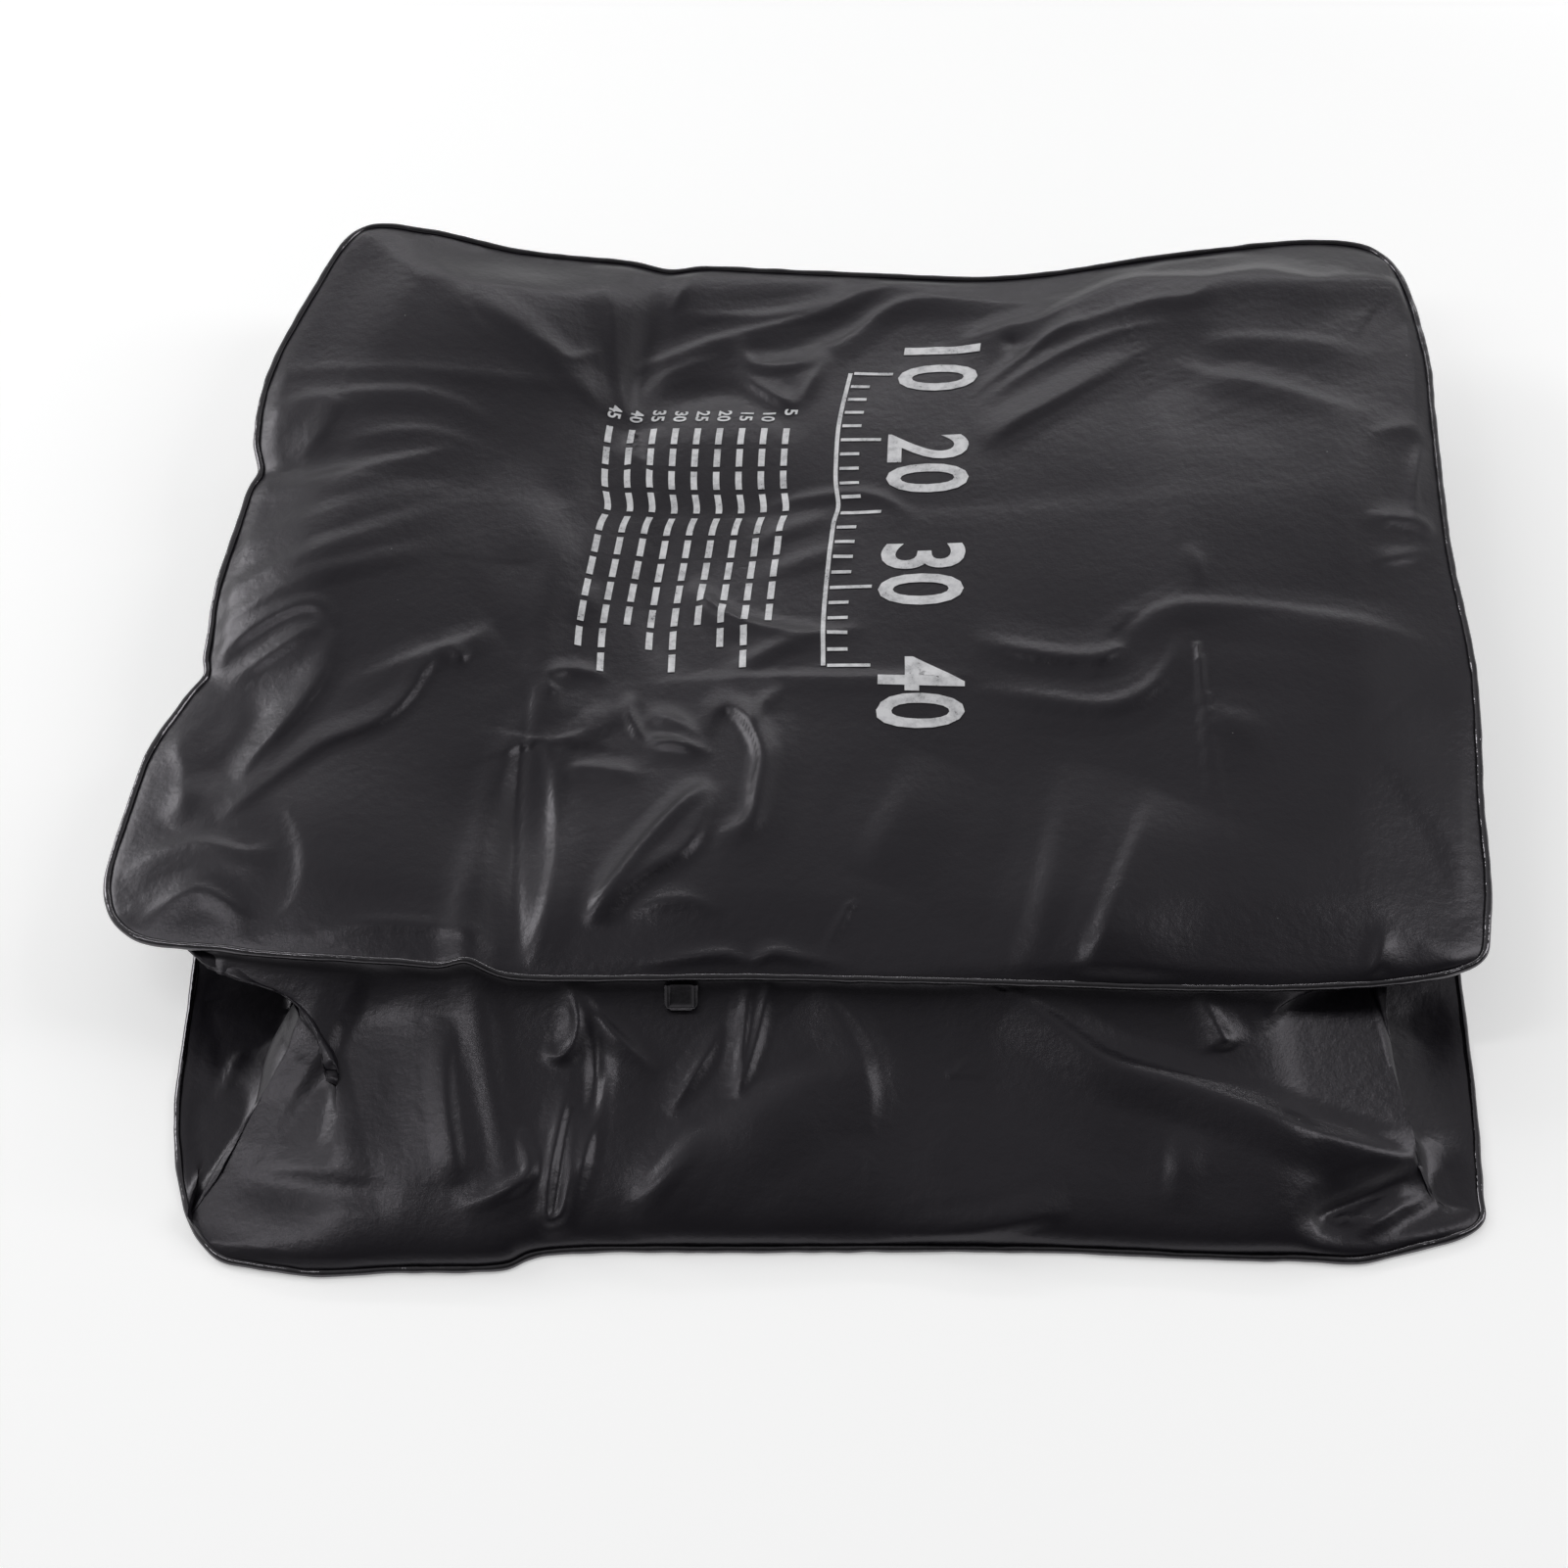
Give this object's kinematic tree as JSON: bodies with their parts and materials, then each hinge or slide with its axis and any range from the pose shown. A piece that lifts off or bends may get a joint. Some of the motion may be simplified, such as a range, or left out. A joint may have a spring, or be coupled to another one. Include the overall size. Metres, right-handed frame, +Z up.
{
  "type": "camp shower bag",
  "caption": "Box-shaped black water bag for a camp shower, lying empty and slumped, with welded seams, screw-cap filler, outlet tap and hang tabs.",
  "frame": {"origin": "middle of the object's bounding box, on the surface that it lies on", "axes": "+X along the bag towards its hanging end, +Y towards the back, +Z up"},
  "size_m": [0.6324, 0.6005, 0.0828],
  "materials": {
    "black_film": "semi-matte calendered PVC film",
    "seam_gloss": "glossy where the weld melted it",
    "moulded_black": "fine satin moulding",
    "gasket_rubber": "matt grey rubber",
    "eyelet_nickel": "nickel-plated, lightly brushed",
    "tap_grey": "satin moulding"
  },
  "bodies": {
    "bag": {"upper_panel": "black_film", "lower_panel": "black_film", "front_wall": "black_film", "rear_wall": "black_film", "hanging_end_wall": "black_film", "outlet_end_wall": "black_film", "hanging_front_corner": "black_film", "hanging_rear_corner": "black_film", "outlet_front_corner": "black_film", "outlet_rear_corner": "black_film", "upper_seam": "seam_gloss", "lower_seam": "seam_gloss", "filler_neck": "moulded_black", "outlet_tap_body": "moulded_black", "front_hang_tab_weld": "black_film", "rear_hang_tab_weld": "black_film"},
    "cap_seal": {"cap_gasket": "gasket_rubber"},
    "cap": {"filler_cap": "moulded_black"},
    "tap": {"tap_plug": "tap_grey"},
    "front_hang_tab": {"front_hang_tab_flap": "black_film", "front_hang_tab_eyelet": "eyelet_nickel"},
    "rear_hang_tab": {"rear_hang_tab_flap": "black_film", "rear_hang_tab_eyelet": "eyelet_nickel"},
    "pull_tab": {"side_tab": "seam_gloss"}
  },
  "joints": [
    {"name": "cap_lift", "type": "slide", "parent": "bag", "child": "cap_seal", "axis": [1, 0, 0], "range_m": [0, 0.0081]},
    {"name": "cap_spin", "type": "hinge", "parent": "cap_seal", "child": "cap", "pos_m": [0.25193, 0.02601, 0.03093], "axis": [1, 0, 0], "range_deg": [0, 720]},
    {"name": "tap_turn", "type": "hinge", "parent": "bag", "child": "tap", "pos_m": [-0.25297, 0.02221, 0.02863], "axis": [0, 0, 1], "range_deg": [0, 90]},
    {"name": "front_hang_tab_swing", "type": "hinge", "parent": "bag", "child": "front_hang_tab", "pos_m": [0.25453, -0.07899, 0.03557], "axis": [0, -1, 0], "range_deg": [0, 80]},
    {"name": "rear_hang_tab_swing", "type": "hinge", "parent": "bag", "child": "rear_hang_tab", "pos_m": [0.25453, 0.13101, 0.03895], "axis": [0, -1, 0], "range_deg": [0, 80]},
    {"name": "pull_tab_lift", "type": "hinge", "parent": "bag", "child": "pull_tab", "pos_m": [-0.06075, -0.1802, 0.04405], "axis": [-1, 0, 0], "range_deg": [0, 90]}
  ],
  "couplings": [
    {"joint": "cap_lift", "follows": "cap_spin", "m_per_rad": 0.00063662}
  ]
}
